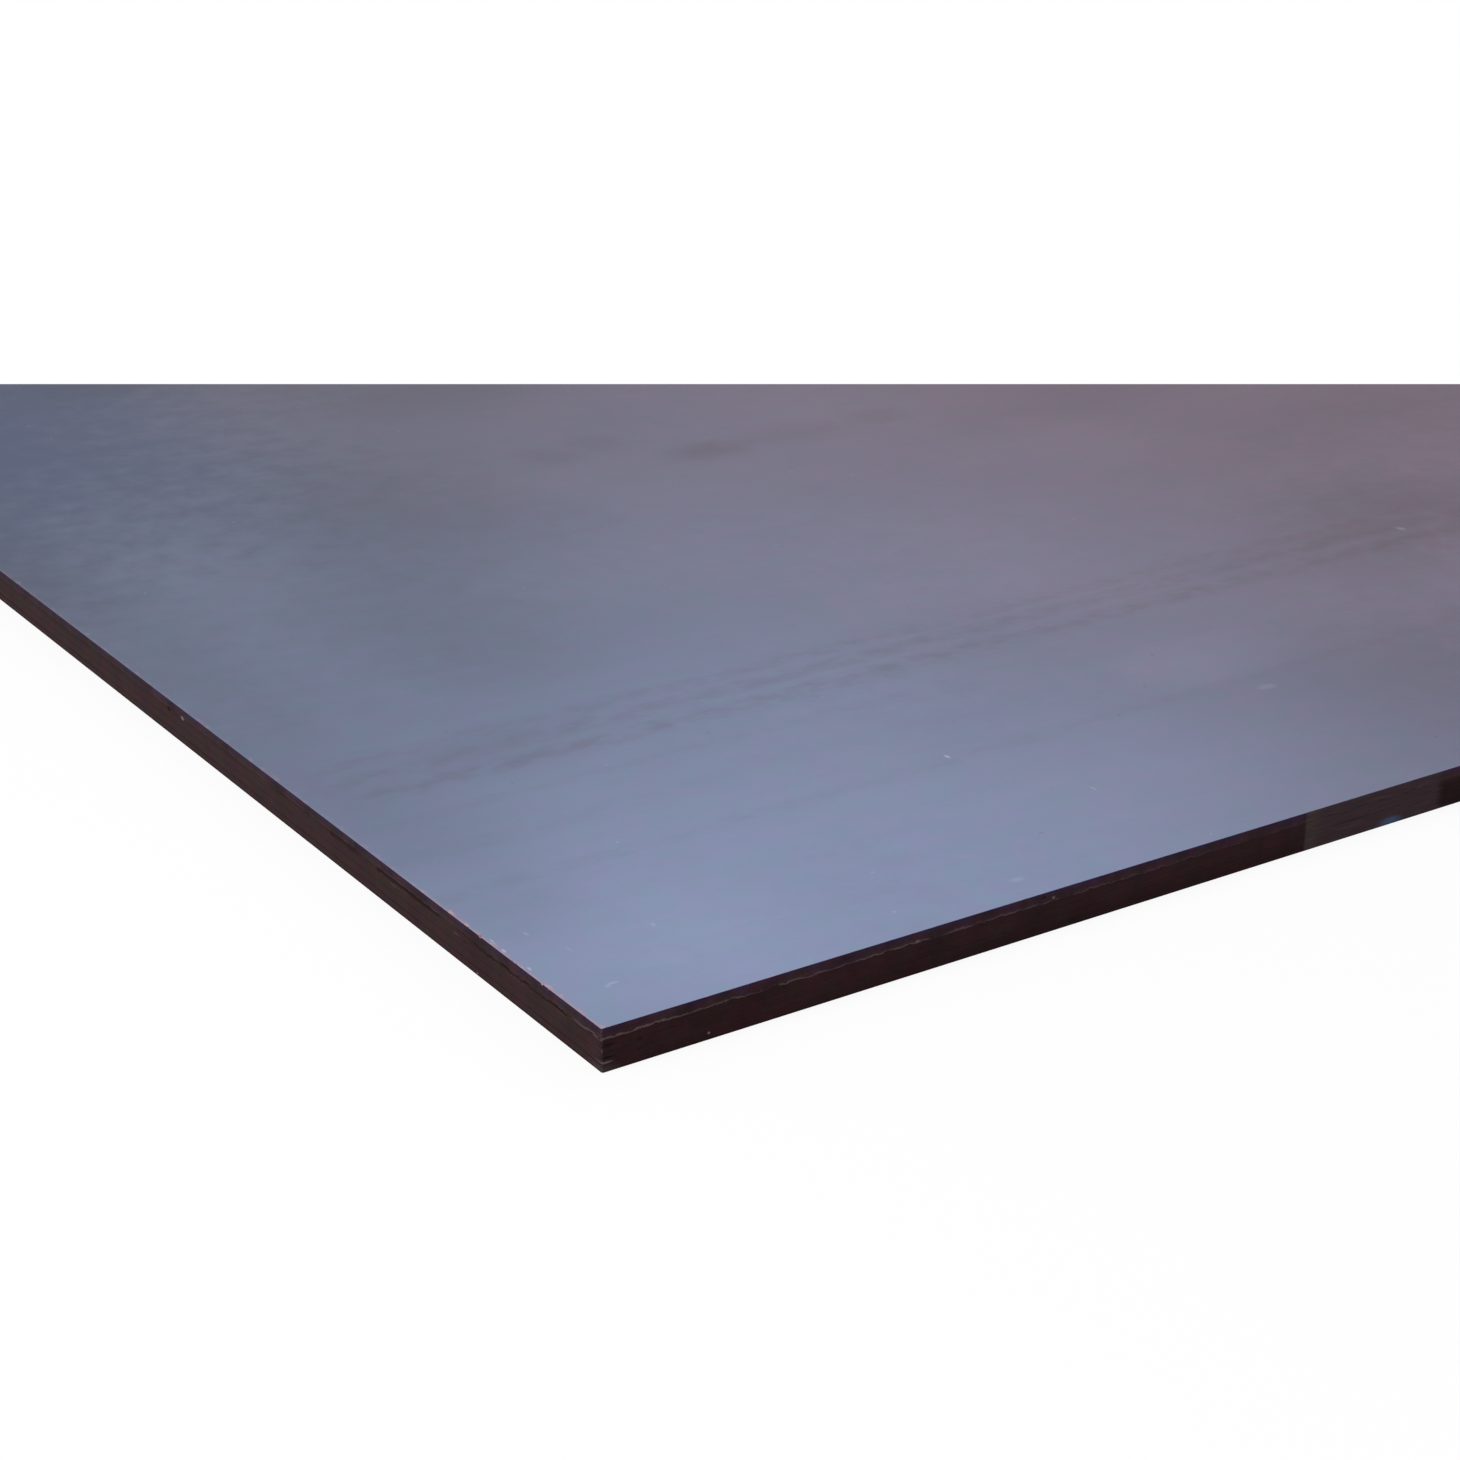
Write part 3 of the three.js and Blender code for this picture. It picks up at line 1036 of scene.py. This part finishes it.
def paint_coats(level, on_end):
    """The plain coats: thick on the lower veneers, thin on the top ones, inky under the arris, and painted
    shade along the bottom.
    """
    thick = blend(on_end, LONG_PAINT, END_PAINT)
    thin = blend(on_end, LONG_PAINT_THIN, END_PAINT_THIN)
    inky, lowest = between(level, *INK_LEVELS, 0.2), ease(level, 0.1, 0.9, 0.35, 0)
    return paint_over(blend(ease(level, *THIN_FROM), thick, thin), (inky, INK_LINE), (lowest, PAINT_DARK_AND_SHADE))


def paint_tints(colour, place, level, on_end):
    """Plum and olive patches, finer warm and cool ones that thin paint shows best, and the thicker paint low
    on the long edges, away from the corner."""
    x, _, _ = split(place)
    elsewhere = off_place(place)
    thinness = ease(level, 6.6, 8.6, 0.35, 1) * mix(on_end, 0.65, 1.1)
    for where, per_mm, strength, first, second in (
        (elsewhere, 0.09, 1, PLUM_TINT, OLIVE_TINT),
        (off_place(elsewhere), 0.16, thinness, COOL_TINT, WARM_TINT),
    ):
        tint = blend(ease(noise(where, per_mm, 2, 0.55), 0.4, 0.6), first, second)
        colour = colour * blend(strength, WHITE, tint)
    low = (1 - on_end) * ease(x, 60, 220) * ease(level, 1.5, 5, 0.3, 0)
    return blend(low, colour, PAINT_DARK_AND_SHADE)


def missed_by_the_brush(colour, place, level, on_end, streaks):
    """The patch on the front edge that the brush missed, and the thick paint beyond it."""
    x, y, _ = split(place)
    on_front = (1 - on_end) * ease(y, 5, 10, 1, 0)
    past_end = x - off_centre(streaks, 10, MISSED_TO)
    started = ease(x, MISSED_FROM - 1, MISSED_FROM + 1)
    fresh = blend(ease(x, MISSED_FROM + 3, MISSED_FROM + 12), MISSED_START, MISSED_PATCH)
    missed = on_front * started * ease(past_end, -3, 3, 1, 0)
    colour = blend(missed, colour, fresh * off_centre(streaks, 1, 1))
    beyond = on_front * ease(past_end, -3, 3) * ease(x, *THICK_ENDS, 1, 0)
    return blend(beyond * ease(level, 5.5, 6.5, 0.5, 0), colour, PAINT_DARK_AND_SHADE)


def glue_seam(colour, place, level, on_end, patches):
    """Along the second glue line: on the long edges the pale line of glue and its painted highlight, with
    painted shade below, and on the ends the painted shade of the open joint.
    """
    x, y, _ = split(place)
    along = x + y
    wander = noise(place, 0.16, 3, 0.65)
    on_long = 1 - on_end

    ragged = off_centre(wander, 1.5, level)
    unbroken = ease(along, 25, 70, 1, 0)
    whole = maths("MAXIMUM", unbroken, ease(patches, 0.42, 0.56, 0.15, 1))
    reach_long = on_long * ease(along, 10, 60, 0.9, 0.7) * ease(along, 130, 330, 1, 0.2)
    reach_end = on_end * ease(along, 14, 24, 0.7, 0)
    shade = between(ragged, *SHADE_LEVELS, 0.1) * on_long * ease(patches, 0.42, 0.56, 0.1, 0.6)
    pale = between(ragged, *GLUE_HIGHLIGHT_LEVELS, 0.09) * whole * (reach_long + reach_end)

    torn = off_centre(wander, 2, level)
    frayed = off_centre(patches, 30, along)
    lips, gaping_shade = 0, 0
    for start, end, lowest, highest, darkness in OPEN_RUNS:
        here = between(frayed, start, end, 3) * on_end * darkness
        lips = between(torn, lowest - LIP_HEIGHT, highest + LIP_HEIGHT, 0.1) * here + lips
        gaping_shade = between(torn, lowest, highest, 0.09) * here + gaping_shade
    lips *= ease(patches, 0.42, 0.6, 0.2, 0.7)
    return paint_over(colour, (shade, PAINT_DARK_AND_SHADE), (pale, GLUE_AND_HIGHLIGHT), (lips, WORN_LIP), (gaping_shade, OPEN_JOINT_SHADE))


def edge_look(place):
    level = veneers_up(place.tree)
    out_x, out_y, _ = split(read_attribute(place.tree, "outward", "Vector"))
    facing_x, facing_y = size_of(out_x), size_of(out_y)
    on_end = ease(facing_x, 0.6, 0.8)

    # Low brush streaks, and patches where the paint lies thicker. Thin paint shows each patch more.
    streaks = noise(place * (0.07, 0.07, 0.6), 1, 3, 0.6)
    patches = noise(place, 0.06, 4, 0.65)
    uneven = mix(ease(level, *THIN_FROM), mix(on_end, 1.3, 0.8), 2.1)
    colour = paint_coats(level, on_end) * off_centre(patches, uneven, off_centre(streaks, 0.5, 1))
    colour = paint_tints(colour, place, level, on_end)
    colour = missed_by_the_brush(colour, place, level, on_end, streaks)
    colour = glue_seam(colour, place, level, on_end, patches)

    # The upright corner, worn pale in places, and the single marks.
    ridge = ease(maths("MINIMUM", facing_x, facing_y), 0.25, 0.6) * ease(streaks, 0.4, 0.6, 0, 0.7)
    colour = blend(ridge, colour, WORN_RIDGE)
    wander = streaks * 0.5 - 0.25
    for centre, size, strength, tint in EDGE_MARKS:
        mark = use(smudge, place, centre=centre, size=size, wander=wander)["Mark"]
        colour = blend(mark * strength, colour, tint)

    # Flecks, and bare wood on the arris where the film is chipped.
    flecks = specks(place, 14, 0.7, 0.12) * 0.2
    chipped = ease(read_attribute(place.tree, "chipped"), 0.2, 0.6) * ease(level, 8.9, 8.97)
    colour = paint_over(colour, (flecks, FLECK), (chipped, BARE_ARRIS))
    return colour, mix(streaks, *PAINT_ROUGHNESS), noise(place, 1.2, 2, 0.6) * 0.5 + streaks


make_finish(edge_finish, edge_look, bump_distance=0.04 * MM, specular=0.04)

# %% [markdown]
# ## Bare veneer
#
# Under the film the face veneer is pale, pinkish wood with its grain along the sheet. It shows only in the
# chips, but there it is the brightest thing on the rim, so a flat colour wouldn't do: it gets the grain
# group with finer fibres, and specks of dirt.

# %% Bare veneer
FRESH_WOOD = rgb(0.54, 0.385, 0.345)
DARK_FIBRE = rgb(0.36, 0.225, 0.19)
WOOD_ROUGHNESS = (0.65, 0.85)


def wood_look(place):
    grain = use(wood_grain, place, stretch=16, fibre=0.7)
    colour = blend(ease(grain["Tone"], 0.35, 0.65), DARK_FIBRE, FRESH_WOOD)
    colour = blend(specks(place, 5, 0.6, 0.3) * 0.5, colour, PAINT_DARK_AND_SHADE)
    return colour, mix(grain["Height"], *WOOD_ROUGHNESS), grain["Height"]


make_finish(wood_finish, wood_look, bump_distance=0.05 * MM, specular=0.3)

# %% [markdown]
# ## Light and floor
#
# The sheet lies in an evenly lit white room, with one large softbox high on the left of the camera, so the
# left end is the lighter of the two edges and the shadow falls behind. A weaker one hangs over the far
# half, which the first hardly reaches. Together they light the top face at about full strength, where a
# colour renders as it is written. The room and floor look white to the camera and in reflections without
# throwing more light on the sheet: a Light Path node tells those rays from the rest.

# %% Light
WORLD_LIGHT = 0.45
SOFTBOX_SIZE = 2.2
# Place, target, watts, and whether glossy surfaces mirror it.
SOFTBOXES = {
    "softbox": (Vector((-3.6, -1, 2.4)), Vector((-1.2, -0.55, 0)), 100, True),
    "far_softbox": (Vector((1.6, 0.3, 2.4)), Vector((1.1, 0.2, 0)), 20, False),
}


def seen_or_mirrored(tree):
    """1 for rays from the camera and for those of a glossy or clear surface, and 0 for light."""
    path = wires_of(add_node(tree, "ShaderNodeLightPath"))
    seen = maths("MAXIMUM", path["Is Camera Ray"], path["Is Glossy Ray"])
    return maths("MAXIMUM", seen, path["Is Transmission Ray"])


def make_world():
    world = bpy.data.worlds.new("white_room")
    bpy.context.scene.world = world
    world.use_nodes = True
    tree = world.node_tree
    tree.nodes.clear()
    lit, seen = (add(tree, "ShaderNodeBackground", [WHITE, strength]) for strength in (WORLD_LIGHT, 1))
    both = add(tree, "ShaderNodeMixShader", [seen_or_mirrored(tree), lit, seen])
    add_node(tree, "ShaderNodeOutputWorld", [both])


def make_softbox(name, place, target, watts, mirrored):
    data = bpy.data.lights.new(name, "AREA")
    data.shape = "SQUARE"
    data.size = SOFTBOX_SIZE
    data.energy = watts
    softbox = new_object(name, data)
    aim(softbox, place, target - place)
    softbox.visible_glossy = mirrored


make_world()
for name, settings in SOFTBOXES.items():
    make_softbox(name, *settings)
bpy.context.scene.view_settings.view_transform = "Standard"
print("world", WORLD_LIGHT, "softboxes", list(SOFTBOXES))

# %% Floor
FLOOR_SIZE = 40
FLOOR_GAP = 0.05 * MM  # keeps the floor just clear of the underside, so that the two faces don't coincide
FLOOR_WHITE = rgb(0.9, 0.9, 0.9)
FLOOR_GLOW = 0.87  # share of the floor's brightness that no shadow dims, beside the sheet
GLOW_FROM, GLOW_TO = 1.8, 4.5  # metres from the middle over which that share grows to all of it


def make_floor():
    mesh = bpy.data.meshes.new("studio_floor")
    half = FLOOR_SIZE / 2
    corners = [(-half, -half), (half, -half), (half, half), (-half, half)]
    mesh.from_pydata([(x, y, SHEET_LOW.z - FLOOR_GAP) for x, y in corners], [], [(0, 1, 2, 3)])
    floor = new_object("studio_floor", mesh)
    material = bpy.data.materials.new("floor_paint")
    material.use_nodes = True
    mesh.materials.append(material)
    tree = material.node_tree
    shader = tree.nodes["Principled BSDF"]
    shader.inputs["Base Color"].default_value = FLOOR_WHITE
    shader.inputs["Roughness"].default_value = 1
    shader.inputs["Specular IOR Level"].default_value = 0
    glow = add(tree, "ShaderNodeEmission", [WHITE, 1])
    away = length_of(wires_of(add_node(tree, "ShaderNodeTexCoord"))["Object"])
    share = seen_or_mirrored(tree) * ease(away, GLOW_FROM, GLOW_TO, FLOOR_GLOW, 1)
    both = add(tree, "ShaderNodeMixShader", [share, Wire(shader.outputs[0]), glow])
    both.to(tree.nodes["Material Output"].inputs[0])


make_floor()
print("floor", FLOOR_SIZE, "m square")

# %% [markdown]
# ## Last update
#
# The dressed sheet must stay inside the solid one.

# %% Last update
bpy.context.view_layer.update()
